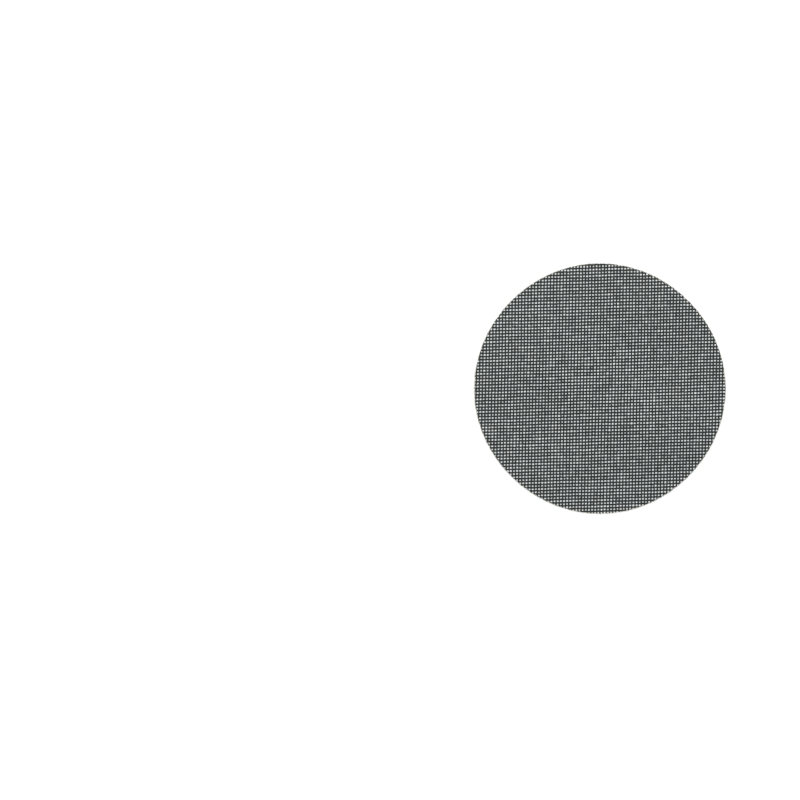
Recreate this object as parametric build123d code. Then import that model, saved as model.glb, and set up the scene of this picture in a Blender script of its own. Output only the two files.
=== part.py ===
from build123d import *
import math
import os

# Driving dimensions, millimetres and degrees
disc_diameter = 125.0
thread_pitch = 1.575
warp_width = 0.66
warp_crown_width = 0.32
weft_width = 0.74
weft_crown_width = 0.38
net_skew = 2.74
net_thickness = 0.70
loop_height = 0.35
web_thickness = 0.16

# Where the round is cut from the net: its nearest threads lie this far right of and above its middle
warp_shift = -0.33
weft_shift = 0.41

# Open cells, spread evenly over the net, and how far their middles stay inside the cut edge
gap_spacing_across = 11.0
gap_spacing_along = 9.5
gap_edge_margin = 2.4

# Heights, from the tips of the loops up
net_top = loop_height + net_thickness
web_middle = loop_height + net_thickness / 2
web_bottom = web_middle - web_thickness / 2
web_top = web_middle + web_thickness / 2

disc_radius = disc_diameter / 2
net_reach = disc_radius + 2 * thread_pitch
threads_each_side = math.ceil(net_reach / thread_pitch)
lean = math.radians(net_skew)


def ridged_slab(shift, foot_width, crown_width, foot_height, crown_height, back_height):
    """A slab with a ridge along Y for each thread. It fills from back_height to the ridges' feet."""
    outline = []
    for thread in range(-threads_each_side, threads_each_side + 1):
        middle = thread * thread_pitch + shift
        outline.append((middle - foot_width / 2, foot_height))
        outline.append((middle - crown_width / 2, crown_height))
        outline.append((middle + crown_width / 2, crown_height))
        outline.append((middle + foot_width / 2, foot_height))
    left, right = outline[0][0], outline[-1][0]
    outline.append((right, back_height))
    outline.append((left, back_height))
    section = make_face(Plane.XZ * Polyline(*outline, close=True))
    return extrude(section, net_reach, both=True)


def warp_side():
    """The lengthways threads, as ridges over the side that sands. They lean off square to the weft."""
    slab = ridged_slab(warp_shift, warp_width, warp_crown_width, web_top, net_top, web_middle)
    return Rotation(0, 0, -net_skew) * slab


def weft_side():
    """The crossways threads with the loops that stand on them, as ridges under the back."""
    slab = ridged_slab(weft_shift, weft_width, weft_crown_width, web_bottom, 0, web_middle)
    return Rotation(0, 0, 90) * slab


def gap():
    """One opening, the whole room that four threads leave between them."""
    half_length = (thread_pitch - weft_width) / 2
    half_width = (thread_pitch - warp_width) / 2 / math.cos(lean)
    slant = half_length * math.tan(lean)
    outline = Polyline(
        (-half_width - slant, -half_length),
        (half_width - slant, -half_length),
        (half_width + slant, half_length),
        (-half_width + slant, half_length),
        close=True,
    )
    return extrude(make_face(outline), net_top)


def gap_places():
    """Middles of the open cells, each between two warp and two weft threads."""
    cells_across = max(1, round(gap_spacing_across / thread_pitch))
    cells_along = max(1, round(gap_spacing_along / thread_pitch))
    places = []
    for column in range(-threads_each_side, threads_each_side):
        for row in range(-threads_each_side, threads_each_side):
            aside = (column + 0.5) * thread_pitch + warp_shift
            y = (row + 0.5) * thread_pitch + weft_shift
            x = aside / math.cos(lean) + y * math.tan(lean)
            chosen = column % cells_across == 0 and row % cells_along == 0
            if chosen and math.hypot(x, y) < disc_radius - gap_edge_margin:
                places.append((x, y))
    return places


def mesh_disc():
    """The net as one wall, cut round, with its open cells."""
    wall = warp_side() + weft_side()
    blank = extrude(Circle(disc_radius), net_top)
    opening = gap()
    openings = Compound([Location((x, y, 0)) * opening for x, y in gap_places()])
    return (wall & blank) - openings


os.makedirs("parts", exist_ok=True)
export_step(mesh_disc(), "parts/mesh_disc.step")
print("open cells", len(gap_places()))
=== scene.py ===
import math

import bpy
import numpy as np
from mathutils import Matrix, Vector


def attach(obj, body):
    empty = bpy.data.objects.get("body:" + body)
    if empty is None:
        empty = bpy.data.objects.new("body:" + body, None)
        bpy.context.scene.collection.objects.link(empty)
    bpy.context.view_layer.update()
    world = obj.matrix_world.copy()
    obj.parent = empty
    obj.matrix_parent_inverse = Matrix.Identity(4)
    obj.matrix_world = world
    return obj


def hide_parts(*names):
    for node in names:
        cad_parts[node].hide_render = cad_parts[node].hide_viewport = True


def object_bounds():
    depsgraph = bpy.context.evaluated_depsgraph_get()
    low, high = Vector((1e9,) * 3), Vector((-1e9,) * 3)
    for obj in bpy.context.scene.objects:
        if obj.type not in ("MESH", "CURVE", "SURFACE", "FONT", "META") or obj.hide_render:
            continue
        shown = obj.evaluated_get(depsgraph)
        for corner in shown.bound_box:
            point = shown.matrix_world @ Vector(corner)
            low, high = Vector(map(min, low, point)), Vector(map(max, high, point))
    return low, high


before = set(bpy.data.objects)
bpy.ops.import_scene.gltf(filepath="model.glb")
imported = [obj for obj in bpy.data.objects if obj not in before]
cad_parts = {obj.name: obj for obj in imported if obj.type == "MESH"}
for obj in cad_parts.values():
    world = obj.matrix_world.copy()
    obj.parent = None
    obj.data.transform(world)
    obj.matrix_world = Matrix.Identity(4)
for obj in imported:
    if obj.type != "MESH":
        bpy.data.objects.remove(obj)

cad_lowest, cad_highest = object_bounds()

MM = 0.001

# The net, in metres. Its outer sizes, pitch, lean and shifts are the part's own
DISC_RADIUS = (cad_highest.x - cad_lowest.x) / 2
NET_TOP = cad_highest.z
NET_BOTTOM = 0.35 * MM
PITCH = 1.575 * MM
LEAN = math.radians(2.74)
WARP_SHIFT = -0.33 * MM
WEFT_SHIFT = 0.41 * MM
WARP_WIDTH = 0.706 * MM
WEFT_WIDTH = 0.832 * MM

# More than there are threads on either side of the middle, so that cells count up from 0
MOST_THREADS = 50

# How a coated thread is shaped between one crossing and the next
CELL_STEPS = (0.0, 0.27, 0.5, 0.73)
RIB_HALF_HEIGHT = 0.225 * MM
CROSSING_SWELL = 0.12 * MM
SWELL_POWER = 1.6
SAG_BETWEEN = 0.03 * MM
WEFT_ZIGZAG = 0.022 * MM
COAT_LUMPS = 0.013 * MM
SECTION = ((-1, 0), (-0.56, 1), (0, 1), (0.56, 1), (1, 0), (0.6, -0.85), (-0.6, -0.85))

# The groove along the top of a thread, as shares of its half height
GROOVE_POINT = 2
WARP_GROOVE = 0.55
WEFT_GROOVE = 0.3
GROOVE_FILLED_AT_CROSSING = 0.7

# How unevenly the coat fills the cells and the net lies
COAT_BROAD = 0.005 * MM
COAT_BROAD_LENGTHS = (35 * MM, 90 * MM)
COAT_PATCHES = 0.009 * MM
COAT_PATCH_LENGTHS = (4 * MM, 13 * MM)
COAT_CELLS = 0.027 * MM
COAT_SIDES = 0.026 * MM
CLOG = 0.13 * MM
ROW_COAT = 0.028 * MM
SLIPPED_ROW = -9
DRIFT = 0.045 * MM
DRIFT_LENGTHS = (16 * MM, 70 * MM)
WANDER = 0.02 * MM
WANDER_LENGTHS = (8 * MM, 30 * MM)

# How the edge is cut
RAGGED_CUT = 0.075 * MM
CUT_WAVES = 24
CUT_WAVE_TURNS = (40, 420)
BIAS_DRAW = 0.40 * MM
WIDTH_GAIN = 0.11 * MM
HEIGHT_DRAW = 0.10 * MM
FOOT_DRAW = 0.15 * MM
SLIVER = 0.12 * MM
END_SETBACK = 0.3 * MM

# The coarser grit. Its places aside are shares of a thread's half width
GRAINS = 12000
GRAIN_SIZE = (0.04 * MM, 0.085 * MM)
GRAIN_STRETCH = (0.6, 1.25)
GRAIN_ASIDE = 0.45
GRAIN_ASIDE_MOST = 0.9
GRAIN_SINK = 0.02 * MM
GRAIN_MARGIN = 0.6 * MM

# The loops on the back
LOOPS = 6200
LOOPS_IN_OPEN_ROWS = 0.05
LOOP_RADIUS = 0.041 * MM
LOOP_SECTIONS = 6
LOOP_SPAN = (0.35 * MM, 0.8 * MM)
LOOP_LEAN = (0.3 * MM, 0.85 * MM)
LOOP_TIP = (0.04 * MM, 0.14 * MM)
LOOP_TURN = 0.35
LOOP_BLUNTNESS = 0.7
LOOP_ROOT_DEPTH = 0.1 * MM
LOOP_MARGIN = 0.9 * MM

# The bare fibres at the cut edge. Their turns and bends are shares of their length
CUT_FIBRES = 5600
CUT_FIBRE_RADIUS = 0.031 * MM
CUT_FIBRE_SECTIONS = 4
CUT_FIBRE_LENGTH = (0.25 * MM, 0.65 * MM)
CUT_FIBRE_START = (0.1 * MM, 0.45 * MM)
CUT_FIBRE_SPREAD = 0.1 * MM
CUT_FIBRE_TURN = 0.5
CUT_FIBRE_BEND = 0.6
CUT_FIBRE_LIFT = 0.3

# The pieces' maps, in shares of a thread's strip or a small body's tile
CAP_STRIP = 0.02
CAP_MIDDLE = 0.009
CAP_HALF_SIDES = (0.008, 0.4)
STRIP_MARGIN = 0.04
TILE_MARGIN = 0.06

# Colours from dark to pale, and the sizes of the patterns in them
COAT_COLOURS = (0.0159, 0.0221, 0.0207), (0.0223, 0.0309, 0.0290), (0.054, 0.069, 0.065)
CRYSTAL_COLOURS = (0.012, 0.015, 0.015), (0.020, 0.025, 0.025), (0.045, 0.053, 0.053)
LOOP_COLOURS = (0.44, 0.40, 0.31), (0.66, 0.62, 0.53)
CUT_FIBRE_COLOURS = (0.50, 0.42, 0.27), (0.72, 0.64, 0.47)
GRIT_SIZE = 0.11 * MM
GRIT_DEPTH = 0.03 * MM
CLOUD_SIZE = 6 * MM
CRYSTAL_TINT_SIZE = 0.4 * MM
YARN_TINT_SIZE = 2.5 * MM

# The photograph's frame
PHOTO_SIDE = 800
PITCH_PX = 3.158
PIXEL = PITCH / PITCH_PX
DISC_CENTRE_PX = (599.4, 388.2)
ROLL = math.radians(1.67)
CLOGGED_CELLS_PX = ((591.2, 367.1), (565.4, 396.2))
LENS = 120
SENSOR = 36
CLIP_START = 0.01

# Light
WORLD_LIGHT = 0.8
SOFT_BOX_PLACE = (-0.03, 0.30, 0.42)
SOFT_BOX_SIDE = 0.4
SOFT_BOX_WATTS = 1.0
FLOOR_SIDE = 12.0
FLOOR_COLOUR = (0.68, 0.70, 0.698)
FLOOR_SHINE = (0.482, 0.506, 0.506)


def unit_waves(shortest, longest, waves, seed):
    """A smooth random pattern over the disc, about 1 high."""
    rng = np.random.default_rng(seed)
    lengths = rng.uniform(shortest, longest, waves)
    ways = rng.uniform(0, 2 * math.pi, waves)
    starts = rng.uniform(0, 2 * math.pi, waves)
    numbers = np.stack([np.cos(ways), np.sin(ways)]) * 2 * math.pi / lengths

    def height(place):
        return np.sin(place @ numbers + starts).sum(-1) / math.sqrt(waves / 2)

    return height


drift_x = unit_waves(*DRIFT_LENGTHS, waves=7, seed=1)
drift_y = unit_waves(*DRIFT_LENGTHS, waves=7, seed=2)
broad_coat = unit_waves(*COAT_BROAD_LENGTHS, waves=5, seed=6)
patchy_coat = unit_waves(*COAT_PATCH_LENGTHS, waves=24, seed=7)


def drift(place):
    """How far the net as a whole has been pulled off its even grid."""
    return DRIFT * np.stack([drift_x(place), drift_y(place)], -1)


def coat_at(place):
    """How much wider than usual the coat makes each side of a thread."""
    return COAT_BROAD * broad_coat(place) + COAT_PATCHES * patchy_coat(place)


def tight_row(row):
    """Every second row of cells is a little tighter and has the loops. The count slips once."""
    return (row + (row < SLIPPED_ROW)) % 2 == 0


class Threads:
    """One of the net's two sets of threads. A place along a thread is counted in crossings."""

    def __init__(self, along, across, shift, width, middle, sag, groove, zigzag, row_coat, seed):
        self.along = np.array(along)
        self.across = np.array(across)
        self.shift = shift
        self.half_width = width / 2
        self.middle = middle
        self.sag = sag
        self.groove = groove
        self.zigzag = zigzag
        self.row_coat = row_coat
        self.seed = seed
        self.other = None
        self.fill = None
        rng = np.random.default_rng(seed)
        self.count = int(DISC_RADIUS / PITCH) + 2
        self.wander_length = rng.uniform(*WANDER_LENGTHS, 2 * self.count + 1)
        self.wander_start = rng.uniform(0, 2 * math.pi, 2 * self.count + 1)

    def offset(self, thread):
        """How far a thread's line lies from the disc's centre."""
        return thread * PITCH + self.shift

    def distance(self, thread, crossing):
        """The distance along a thread to a crossing, from where it is nearest the disc's centre."""
        aside = self.offset(thread) * self.across.dot(self.other.across)
        return (crossing * PITCH + self.other.shift - aside) / self.along.dot(self.other.across)

    def crossing(self, thread, distance):
        """The inverse of distance."""
        aside = self.offset(thread) * self.across.dot(self.other.across)
        return (distance * self.along.dot(self.other.across) + aside - self.other.shift) / PITCH

    def line(self, thread, crossing):
        """Points of a thread's middle line, over the disc."""
        distance = self.distance(thread, crossing)
        part = crossing - np.floor(crossing)
        hand = np.where(np.floor(crossing) % 2 == 0, 1, -1)
        turn = 2 * math.pi * distance / self.wander_length[thread + self.count]
        aside = self.offset(thread) + WANDER * np.sin(turn + self.wander_start[thread + self.count])
        aside = aside + self.zigzag * hand * np.sin(math.pi * part)
        place = np.multiply.outer(distance, self.along) + np.multiply.outer(aside, self.across)
        return place + drift(place)

    def nearness(self, crossing):
        """1 at a crossing and 0 half way between two."""
        return np.abs(2 * (crossing - np.floor(crossing)) - 1)

    def half_width_at(self, crossing):
        """Half a thread's width, which swells at the crossings."""
        return self.half_width + CROSSING_SWELL * self.nearness(crossing) ** SWELL_POWER

    def middle_at(self, crossing):
        """The height of a thread's middle, which draws to the other set between the crossings."""
        return self.middle - self.sag * (1 - self.nearness(crossing) ** 2)

    def numbers(self):
        """The threads that reach the disc. One that the cut would leave as a sliver is gone."""
        kept = []
        for thread in range(-self.count, self.count + 1):
            outwards = math.copysign(1, self.offset(thread)) * self.across
            edge = cut_line(math.atan2(outwards[1], outwards[0]))
            if abs(self.offset(thread)) - self.half_width < edge - SLIVER:
                kept.append(thread)
        return kept

    def ends(self, thread):
        """The crossings, as fractions, by which a thread's inner edge has met the cut edge."""
        inner = max(abs(self.offset(thread)) - self.half_width, 0)
        half = math.sqrt((DISC_RADIUS + WIDTH_GAIN) ** 2 - inner**2)
        return self.crossing(thread, -half), self.crossing(thread, half)

    def side_coat(self, thread, cells, rng):
        """For each cell beside a thread, how far the coat reaches out on its two sides."""
        reach = rng.normal(0, COAT_SIDES, (len(cells), 2))
        reach[:, 0] += self.fill[thread - 1 + MOST_THREADS, cells + MOST_THREADS]
        reach[:, 1] += self.fill[thread + MOST_THREADS, cells + MOST_THREADS]
        return reach + self.row_coat * np.where(tight_row(cells), 1, -1)[:, None]


def cut_line(angle):
    """The cut edge without its raggedness: a little wide, short at the foot, drawn in aslant."""
    sideways = WIDTH_GAIN * np.cos(angle) ** 2
    aslant = BIAS_DRAW * np.sin(2 * angle) ** 2
    upright = HEIGHT_DRAW * np.sin(angle) ** 2
    foot = FOOT_DRAW * np.minimum(np.sin(angle), 0) ** 2
    return DISC_RADIUS + sideways - aslant - upright - foot


def cut_radius(angle):
    """The cut edge, a little ragged."""
    rng = np.random.default_rng(seed=3)
    total = np.zeros_like(angle)
    for _ in range(CUT_WAVES):
        turns = rng.integers(*CUT_WAVE_TURNS)
        total = total + np.sin(turns * angle + rng.uniform(0, 2 * math.pi))
    return cut_line(angle) + RAGGED_CUT * np.clip(total / math.sqrt(CUT_WAVES / 2), -1, 1)


def trim(points):
    """Brings what lies past the cut edge back onto it."""
    radius = np.hypot(points[:, 0], points[:, 1])
    cut = cut_radius(np.arctan2(points[:, 1], points[:, 0]))
    scale = np.where(radius > cut, cut / np.maximum(radius, MM), 1)
    points[:, :2] *= scale[:, None]
    return points


def new_object(name, data):
    """An object in the scene for a mesh, a lamp or a camera."""
    made = bpy.data.objects.new(name, data)
    bpy.context.scene.collection.objects.link(made)
    return made


def add_piece(name, points, faces, corners, material, replaces=()):
    """A smooth piece on the only body, from its points, its faces and their corners on its map."""
    mesh = bpy.data.meshes.new(name)
    mesh.from_pydata(points.tolist(), [], faces)
    mesh.shade_smooth()
    mesh.materials.append(material)
    layer = mesh.uv_layers.new(name="OFBake")
    layer.uv.foreach_set("vector", np.asarray(corners, np.float32).ravel())
    mesh.update()
    piece = new_object(name, mesh)
    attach(piece, "root")
    for node in replaces:
        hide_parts(node)
    return piece


def stations(threads, thread, rng):
    """Where along a thread its sections stand, and the cells that it passes."""
    first, last = threads.ends(thread)
    first += rng.uniform(0, END_SETBACK) / PITCH
    last -= rng.uniform(0, END_SETBACK) / PITCH
    cells = np.arange(math.floor(first) - 1, math.ceil(last) + 2)
    crossings = np.add.outer(cells, np.array(CELL_STEPS)).ravel()
    inside = (crossings > first) & (crossings < last)
    return np.concatenate([[first], crossings[inside], [last]]), cells


def rib(threads, thread, rng):
    """One coated thread as points, section after section, up to the cut edge or past it."""
    crossings, cells = stations(threads, thread, rng)
    line = threads.line(thread, crossings)
    half_width = threads.half_width_at(crossings) + coat_at(line)
    near = threads.nearness(crossings)
    section = np.array(SECTION, float)
    cell = np.floor(crossings).astype(int) - cells[0]
    sides = threads.side_coat(thread, cells, rng)[cell] * (1 - near**2)[:, None]
    reach = np.where(section[:, 0] > 0, sides[:, 1:], sides[:, :1])
    aside = (half_width[:, None] + reach) * section[:, 0]
    rise = np.tile(section[:, 1] * RIB_HALF_HEIGHT, (len(crossings), 1))
    rise[:, GROOVE_POINT] *= 1 - threads.groove * (1 - GROOVE_FILLED_AT_CROSSING * near)
    aside += rng.normal(0, COAT_LUMPS, aside.shape)
    rise += rng.normal(0, COAT_LUMPS, rise.shape)
    points = np.empty((len(crossings), len(section), 3))
    points[..., :2] = line[:, None] + aside[..., None] * threads.across
    points[..., 2] = threads.middle_at(crossings)[:, None] + rise
    return points


def tube(rows, sides):
    """Faces of a closed tube of rows of points, and the faces' corners on a unit square."""
    faces, corners = [], []
    for row in range(rows - 1):
        near = CAP_STRIP + (1 - 2 * CAP_STRIP) * row / (rows - 1)
        far = CAP_STRIP + (1 - 2 * CAP_STRIP) * (row + 1) / (rows - 1)
        for side in range(sides):
            here, turn = row * sides, (side + 1) % sides
            faces.append((here + side, here + turn, here + sides + turn, here + sides + side))
            left, right = side / sides, (side + 1) / sides
            corners += [(near, left), (near, right), (far, right), (far, left)]
    faces.append(tuple(range(sides - 1, -1, -1)))
    faces.append(tuple(range((rows - 1) * sides, rows * sides)))
    half_length, half_breadth = CAP_HALF_SIDES
    for middle in (CAP_MIDDLE, 1 - CAP_MIDDLE):
        for side in range(sides):
            turn = 2 * math.pi * side / sides
            place = (middle + half_length * math.cos(turn), 0.5 + half_breadth * math.sin(turn))
            corners.append(place)
    return faces, np.array(corners)


def ribs(name, threads, parity, material):
    """Every second thread of a set, as one piece. Each has its own strip of the piece's map."""
    rng = np.random.default_rng(10 * threads.seed + parity)
    chosen = [thread for thread in threads.numbers() if thread % 2 == parity]
    scale = (1, (1 - 2 * STRIP_MARGIN) / len(chosen))
    points, faces, corners, count = [], [], [], 0
    for strip, thread in enumerate(chosen):
        made = rib(threads, thread, rng)
        tube_faces, places = tube(len(made), len(SECTION))
        faces += [tuple(count + corner for corner in face) for face in tube_faces]
        points.append(made.reshape(-1, 3))
        corners.append(places * scale + (0, (strip + STRIP_MARGIN) / len(chosen)))
        count += len(points[-1])
    points = trim(np.concatenate(points))
    add_piece(name, points, faces, np.concatenate(corners), material, ["mesh_disc"])


def repeated(count, size, faces, corners):
    """The faces of many alike small bodies, each in its own tile of the map."""
    tiles = math.ceil(math.sqrt(count))
    tile = np.stack([np.arange(count) % tiles, np.arange(count) // tiles], 1)
    all_faces = []
    for start in range(0, count * size, size):
        all_faces += [tuple(start + corner for corner in face) for face in faces]
    in_tile = TILE_MARGIN + (1 - 2 * TILE_MARGIN) * corners
    return all_faces, ((tile[:, None] + in_tile[None]) / tiles).reshape(-1, 2)


def random_turns(rng, count):
    """Rotation matrices that point any way."""
    turn = rng.normal(size=(count, 4))
    turn /= np.linalg.norm(turn, axis=1)[:, None]
    w, x, y, z = turn.T
    rows = [
        [1 - 2 * (y * y + z * z), 2 * (x * y - w * z), 2 * (x * z + w * y)],
        [2 * (x * y + w * z), 1 - 2 * (x * x + z * z), 2 * (y * z - w * x)],
        [2 * (x * z - w * y), 2 * (y * z + w * x), 1 - 2 * (x * x + y * y)],
    ]
    return np.moveaxis(np.array(rows), 2, 0)


def crystals(rng, places, sizes):
    """A small eight-sided crystal at each place, turned at random."""
    tips = np.array([(1, 0, 0), (0, 1, 0), (0, 0, 1), (-1, 0, 0), (0, -1, 0), (0, 0, -1)], float)
    stretch = rng.uniform(*GRAIN_STRETCH, (len(places), len(tips), 1)) * sizes[:, None, None]
    points = np.einsum("nij,nkj->nki", random_turns(rng, len(places)), tips * stretch)
    upper = [(0, 1, 2), (1, 3, 2), (3, 4, 2), (4, 0, 2)]
    lower = [(1, 0, 5), (3, 1, 5), (4, 3, 5), (0, 4, 5)]
    triangle = np.array([(0.1, 0.1), (0.9, 0.1), (0.5, 0.9)])
    corners = [(triangle + (face % 4, face // 4)) / (4, 2) for face in range(8)]
    faces, corners = repeated(len(places), len(tips), upper + lower, np.concatenate(corners))
    return (points + places[:, None]).reshape(-1, 3), faces, corners


def on_threads(threads, rng, count):
    """Random places over the tops of a set of threads, and their heights."""
    places = []
    while len(places) < count:
        thread = int(rng.integers(-threads.count, threads.count + 1))
        crossing = threads.crossing(thread, rng.uniform(-DISC_RADIUS, DISC_RADIUS))
        aside = np.clip(rng.normal(0, GRAIN_ASIDE), -GRAIN_ASIDE_MOST, GRAIN_ASIDE_MOST)
        line = threads.line(thread, np.array([crossing]))[0]
        spot = line + aside * threads.half_width_at(crossing) * threads.across
        if math.hypot(*spot) < DISC_RADIUS - GRAIN_MARGIN:
            height = threads.middle_at(crossing) + RIB_HALF_HEIGHT * math.sqrt(1 - aside * aside)
            places.append((spot[0], spot[1], height - GRAIN_SINK))
    return np.array(places)


def abrasive_grains(material):
    """The coarser grit that stands out of the coat, on the side that sands."""
    rng = np.random.default_rng(seed=20)
    half = GRAINS // 2
    places = np.concatenate([on_threads(warp, rng, half), on_threads(weft, rng, half)])
    points, faces, corners = crystals(rng, places, rng.uniform(*GRAIN_SIZE, len(places)))
    piece = add_piece("abrasive_grains", points, faces, corners, material)
    piece.data.shade_flat()


def fine_tubes(name, paths, radius, reference, material):
    """A thin three-sided tube along each path, all as one piece."""
    rows, sides = paths.shape[1], 3
    ways = np.gradient(paths, axis=1)
    ways /= np.linalg.norm(ways, axis=2)[..., None]
    first = np.cross(ways, reference[:, None])
    first /= np.linalg.norm(first, axis=2)[..., None]
    second = np.cross(ways, first)
    points = np.empty(paths.shape[:2] + (sides, 3))
    for side in range(sides):
        angle = 2 * math.pi * side / sides
        points[:, :, side] = paths + radius * (math.cos(angle) * first + math.sin(angle) * second)
    faces, corners = repeated(len(paths), rows * sides, *tube(rows, sides))
    add_piece(name, points.reshape(-1, 3), faces, corners, material)


def loop_roots(rng):
    """Random places inside the warp threads, nearly all beside the tighter rows of cells."""
    places = []
    while len(places) < LOOPS:
        thread = int(rng.integers(-warp.count, warp.count + 1))
        crossing = warp.crossing(thread, rng.uniform(-DISC_RADIUS, DISC_RADIUS))
        spot = warp.line(thread, np.array([crossing]))[0]
        chosen = tight_row(math.floor(crossing)) or rng.uniform() < LOOPS_IN_OPEN_ROWS
        if chosen and math.hypot(*spot) < DISC_RADIUS - LOOP_MARGIN:
            places.append((spot[0], spot[1], warp.middle_at(crossing) - LOOP_ROOT_DEPTH))
    return np.array(places)


def loop_pile(material):
    """Fine loops of bare yarn under the warp threads, leaning out to both sides."""
    rng = np.random.default_rng(seed=30)
    roots = loop_roots(rng)
    turn = LEAN + rng.normal(0, LOOP_TURN, LOOPS)
    step = np.stack([np.sin(turn), np.cos(turn)], 1) * rng.uniform(*LOOP_SPAN, LOOPS)[:, None]
    reach = rng.uniform(*LOOP_LEAN, LOOPS) * rng.choice([-1, 1], LOOPS)
    lean = np.multiply.outer(reach, warp.across)
    tip = rng.uniform(*LOOP_TIP, LOOPS)
    along = np.linspace(0, 1, LOOP_SECTIONS)
    bow = np.sin(math.pi * along)
    paths = np.empty((LOOPS, LOOP_SECTIONS, 3))
    paths[..., :2] = roots[:, None, :2] + step[:, None] * (along - 0.5)[None, :, None]
    paths[..., :2] += lean[:, None] * bow[None, :, None]
    paths[..., 2] = roots[:, 2:] - (roots[:, 2] - tip)[:, None] * bow[None] ** LOOP_BLUNTNESS
    side = np.stack([-step[:, 1], step[:, 0], np.zeros(LOOPS)], 1)
    fine_tubes("loop_pile", paths, LOOP_RADIUS, side, material)


def cut_fibres(material):
    """Fine bare fibres that stand out of the cut edge all the way round."""
    rng = np.random.default_rng(seed=40)
    angle = rng.uniform(0, 2 * math.pi, CUT_FIBRES)
    outwards = np.stack([np.cos(angle), np.sin(angle), np.zeros(CUT_FIBRES)], 1)
    sideways = np.stack([-np.sin(angle), np.cos(angle), np.zeros(CUT_FIBRES)], 1)
    start = outwards * (cut_radius(angle) - rng.uniform(*CUT_FIBRE_START, CUT_FIBRES))[:, None]
    lowest, highest = weft.middle - CUT_FIBRE_SPREAD, warp.middle + CUT_FIBRE_SPREAD
    start[:, 2] = rng.uniform(lowest, highest, CUT_FIBRES)
    heading = outwards + sideways * rng.normal(0, CUT_FIBRE_TURN, CUT_FIBRES)[:, None]
    bend = sideways * rng.normal(0, CUT_FIBRE_BEND, CUT_FIBRES)[:, None]
    bend[:, 2] = rng.normal(0, CUT_FIBRE_LIFT, CUT_FIBRES)
    length = rng.uniform(*CUT_FIBRE_LENGTH, CUT_FIBRES)[:, None, None]
    along = np.linspace(0, 1, CUT_FIBRE_SECTIONS)[None, :, None]
    paths = start[:, None] + length * (along * heading[:, None] + along**2 * bend[:, None])
    upright = np.tile([0.0, 0.0, 1.0], (CUT_FIBRES, 1))
    fine_tubes("cut_fibres", paths, CUT_FIBRE_RADIUS, upright, material)


def from_photo(pixel):
    """A place on the disc from a place in the photograph."""
    right = (pixel[0] - DISC_CENTRE_PX[0]) * PIXEL
    up = (DISC_CENTRE_PX[1] - pixel[1]) * PIXEL
    x = right * math.cos(ROLL) + up * math.sin(ROLL)
    y = up * math.cos(ROLL) - right * math.sin(ROLL)
    return np.array([x, y])


def fill_cells():
    """How far the coat reaches into each cell from all sides. It has nearly closed two of them."""
    most = 2 * MOST_THREADS + 1
    fill = np.random.default_rng(seed=8).normal(0, COAT_CELLS, (most, most))
    for pixel in CLOGGED_CELLS_PX:
        place = from_photo(pixel)
        column = math.floor((place.dot(warp.across) - WARP_SHIFT) / PITCH)
        row = math.floor((place.dot(weft.across) - WEFT_SHIFT) / PITCH)
        fill[column + MOST_THREADS, row + MOST_THREADS] = CLOG
    warp.fill, weft.fill = fill, fill.T


def new_material(name):
    """A plain node material, and its nodes, links and shader."""
    material = bpy.data.materials.new(name)
    material.use_nodes = True
    tree = material.node_tree
    return material, tree.nodes, tree.links, tree.nodes["Principled BSDF"]


def object_pattern(nodes, links, kind, size, coordinates):
    """A noise or cell pattern in the object's own metres, with features of this size."""
    pattern = nodes.new(kind)
    pattern.inputs["Scale"].default_value = 1 / size
    links.new(coordinates.outputs["Object"], pattern.inputs["Vector"])
    return pattern


def ramp(nodes, links, value, stops):
    """A colour ramp over a value, from (place, colour) stops."""
    node = nodes.new("ShaderNodeValToRGB")
    elements = node.color_ramp.elements
    while len(elements) < len(stops):
        elements.new(0.5)
    for element, (place, colour) in zip(elements, stops):
        element.position = place
        element.color = (*colour, 1)
    links.new(value, node.inputs["Fac"])
    return node.outputs["Color"]


def multiply(nodes, links, first, second):
    """Two colours multiplied."""
    mixed = nodes.new("ShaderNodeMix")
    mixed.data_type = "RGBA"
    mixed.blend_type = "MULTIPLY"
    mixed.inputs["Factor"].default_value = 1
    links.new(first, mixed.inputs["A"])
    links.new(second, mixed.inputs["B"])
    return mixed.outputs["Result"]


def grey(level):
    """A grey, as a colour."""
    return (level, level, level)


def coat_material():
    """Resin full of fine dark grit: a grain in the colour, the gloss and the surface, with painted
    shade darkening the crevices between the grains.
    """
    material, nodes, links, shader = new_material("grit_coat")
    coordinates = nodes.new("ShaderNodeTexCoord")
    grit = object_pattern(nodes, links, "ShaderNodeTexVoronoi", GRIT_SIZE, coordinates)
    cloud = object_pattern(nodes, links, "ShaderNodeTexNoise", CLOUD_SIZE, coordinates)
    separate = nodes.new("ShaderNodeSeparateColor")
    links.new(grit.outputs["Color"], separate.inputs["Color"])
    dark, plain, pale = COAT_COLOURS
    flecks = ramp(nodes, links, separate.outputs["Red"], [(0.0, dark), (0.75, plain), (0.97, pale)])
    shade = ramp(nodes, links, cloud.outputs["Fac"], [(0.3, grey(0.82)), (0.7, grey(1.15))])
    # Painted shade: the colour darkens towards the edges between grit grains, standing in for the
    # shade in the crevices, so each grain looks lit in its middle.
    painted_crevice_shade = ramp(nodes, links, grit.outputs["Distance"], [(0.3, grey(1.0)), (0.8, grey(0.45))])
    shaded = multiply(nodes, links, flecks, shade)
    links.new(multiply(nodes, links, shaded, painted_crevice_shade), shader.inputs["Base Color"])
    gloss = ramp(nodes, links, separate.outputs["Green"], [(0.0, grey(0.42)), (1.0, grey(0.85))])
    links.new(gloss, shader.inputs["Roughness"])
    shader.inputs["Specular IOR Level"].default_value = 0.3
    bump = nodes.new("ShaderNodeBump")
    bump.inputs["Distance"].default_value = GRIT_DEPTH
    bump.inputs["Strength"].default_value = 0.7
    links.new(grit.outputs["Distance"], bump.inputs["Height"])
    links.new(bump.outputs["Normal"], shader.inputs["Normal"])
    return material


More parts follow.
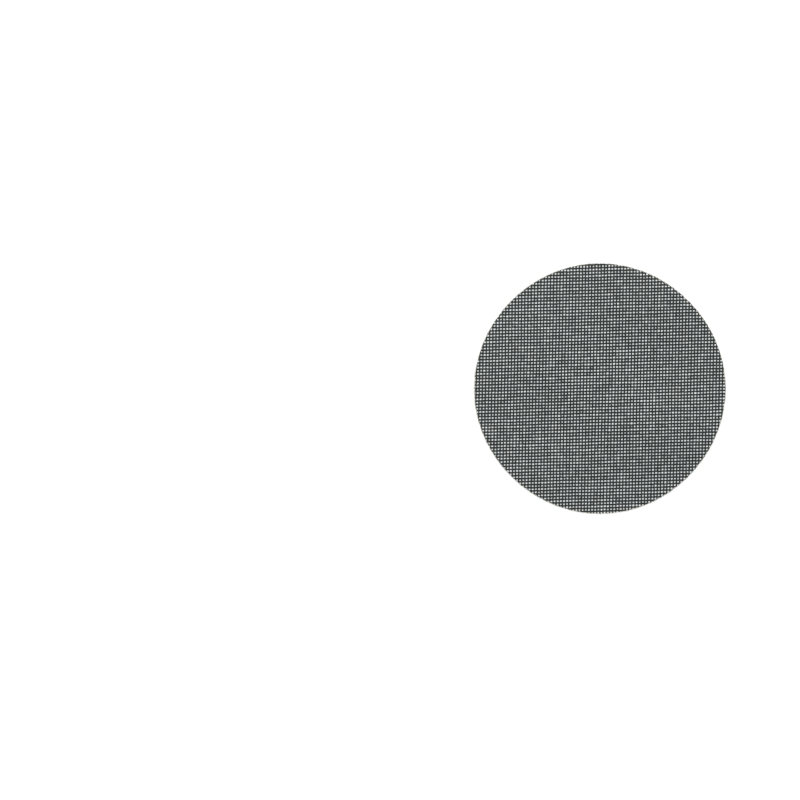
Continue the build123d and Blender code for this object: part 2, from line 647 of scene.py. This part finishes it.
def crystal_material():
    """Silicon carbide: near black, with clean faces that catch the light."""
    material, nodes, links, shader = new_material("silicon_carbide")
    coordinates = nodes.new("ShaderNodeTexCoord")
    tint = object_pattern(nodes, links, "ShaderNodeTexNoise", CRYSTAL_TINT_SIZE, coordinates)
    dark, plain, pale = CRYSTAL_COLOURS
    colour = ramp(nodes, links, tint.outputs["Fac"], [(0.3, dark), (0.6, plain), (0.75, pale)])
    links.new(colour, shader.inputs["Base Color"])
    shader.inputs["Roughness"].default_value = 0.4
    shader.inputs["Specular IOR Level"].default_value = 0.4
    return material


def yarn_material(name, dull, clean):
    """Uncoated filament, its colour between these two."""
    material, nodes, links, shader = new_material(name)
    coordinates = nodes.new("ShaderNodeTexCoord")
    tint = object_pattern(nodes, links, "ShaderNodeTexNoise", YARN_TINT_SIZE, coordinates)
    colour = ramp(nodes, links, tint.outputs["Fac"], [(0.3, dull), (0.7, clean)])
    links.new(colour, shader.inputs["Base Color"])
    shader.inputs["Roughness"].default_value = 0.55
    return material


def seen_rays(nodes, links):
    """1 for the rays that show the background, to the eye or in a reflection."""
    path = nodes.new("ShaderNodeLightPath")
    total = path.outputs["Is Camera Ray"]
    for kind in ("Is Glossy Ray", "Is Transmission Ray"):
        larger = nodes.new("ShaderNodeMath")
        larger.operation = "MAXIMUM"
        links.new(total, larger.inputs[0])
        links.new(path.outputs[kind], larger.inputs[1])
        total = larger.outputs["Value"]
    return total


def mix_shaders(nodes, links, share, first, second):
    """Two shaders mixed, with this share of the second."""
    mix = nodes.new("ShaderNodeMixShader")
    links.new(share, mix.inputs[0])
    links.new(first, mix.inputs[1])
    links.new(second, mix.inputs[2])
    return mix.outputs["Shader"]


def floor_material():
    """Pale and matt, white where it is seen in the open, and clear from below."""
    material, nodes, links, shader = new_material("floor_white")
    nodes.remove(shader)
    matt = nodes.new("ShaderNodeBsdfDiffuse")
    matt.inputs["Color"].default_value = (*FLOOR_COLOUR, 1)
    shine = nodes.new("ShaderNodeEmission")
    shine.inputs["Color"].default_value = (*FLOOR_SHINE, 1)
    both = nodes.new("ShaderNodeAddShader")
    links.new(matt.outputs["BSDF"], both.inputs[0])
    links.new(shine.outputs["Emission"], both.inputs[1])
    rays = seen_rays(nodes, links)
    seen = mix_shaders(nodes, links, rays, matt.outputs["BSDF"], both.outputs["Shader"])
    clear = nodes.new("ShaderNodeBsdfTransparent")
    geometry = nodes.new("ShaderNodeNewGeometry")
    whole = mix_shaders(nodes, links, geometry.outputs["Backfacing"], seen, clear.outputs["BSDF"])
    links.new(whole, nodes["Material Output"].inputs["Surface"])
    return material


def add_floor():
    """A floor that keeps the disc's shadow and goes on to the horizon."""
    half = FLOOR_SIDE / 2
    corners = [(-half, -half, 0), (half, -half, 0), (half, half, 0), (-half, half, 0)]
    mesh = bpy.data.meshes.new("floor")
    mesh.from_pydata(corners, [], [(0, 1, 2, 3)])
    mesh.materials.append(floor_material())
    floor = new_object("floor", mesh)


def add_world():
    """An even pale sky for light, and pure white where it is seen."""
    world = bpy.data.worlds.new("sky")
    bpy.context.scene.world = world
    world.use_nodes = True
    nodes, links = world.node_tree.nodes, world.node_tree.links
    light = nodes["Background"]
    light.inputs["Color"].default_value = (1, 1, 1, 1)
    light.inputs["Strength"].default_value = WORLD_LIGHT
    white = nodes.new("ShaderNodeBackground")
    white.inputs["Color"].default_value = (1, 1, 1, 1)
    seen = seen_rays(nodes, links)
    sky = mix_shaders(nodes, links, seen, light.outputs["Background"], white.outputs["Background"])
    links.new(sky, nodes["World Output"].inputs["Surface"])


def add_soft_box():
    """One soft lamp above the disc's far side, a little to the left, aimed at its middle."""
    lamp = bpy.data.lights.new("soft_box", "AREA")
    lamp.shape = "SQUARE"
    lamp.size = SOFT_BOX_SIDE
    lamp.energy = SOFT_BOX_WATTS
    x, y, height = SOFT_BOX_PLACE
    holder = new_object("soft_box", lamp)
    holder.location = SOFT_BOX_PLACE
    holder.rotation_euler = (-math.atan2(y, height), math.atan2(x, math.hypot(y, height)), 0)


def add_camera():
    """Straight down, with the disc where the photograph has it."""
    camera = bpy.data.cameras.new("camera")
    camera.lens = LENS
    camera.sensor_width = SENSOR
    camera.clip_start = CLIP_START
    middle = from_photo(((PHOTO_SIDE - 1) / 2, (PHOTO_SIDE - 1) / 2))
    height = NET_TOP + PHOTO_SIDE * PIXEL * LENS / SENSOR
    holder = new_object("camera", camera)
    holder.location = (middle[0], middle[1], height)
    holder.rotation_euler = (0, 0, -ROLL)
    bpy.context.scene.camera = holder


warp = Threads(
    along=(math.sin(LEAN), math.cos(LEAN)),
    across=(math.cos(LEAN), -math.sin(LEAN)),
    shift=WARP_SHIFT,
    width=WARP_WIDTH,
    middle=NET_TOP - RIB_HALF_HEIGHT,
    sag=SAG_BETWEEN,
    groove=WARP_GROOVE,
    zigzag=0,
    row_coat=ROW_COAT,
    seed=4,
)
weft = Threads(
    along=(1, 0),
    across=(0, 1),
    shift=WEFT_SHIFT,
    width=WEFT_WIDTH,
    middle=NET_BOTTOM + RIB_HALF_HEIGHT,
    sag=-SAG_BETWEEN,
    groove=WEFT_GROOVE,
    zigzag=WEFT_ZIGZAG,
    row_coat=0,
    seed=5,
)
warp.other, weft.other = weft, warp
fill_cells()

coat = coat_material()
loop_yarn = yarn_material("loop_yarn", *LOOP_COLOURS)
cut_yarn = yarn_material("cut_yarn", *CUT_FIBRE_COLOURS)
for parity, hand in enumerate(("even", "odd")):
    ribs("warp_threads_" + hand, warp, parity, coat)
    ribs("weft_threads_" + hand, weft, parity, coat)
abrasive_grains(crystal_material())
loop_pile(loop_yarn)
cut_fibres(cut_yarn)

add_floor()
add_world()
add_soft_box()
add_camera()

bpy.context.scene.view_settings.view_transform = "Standard"
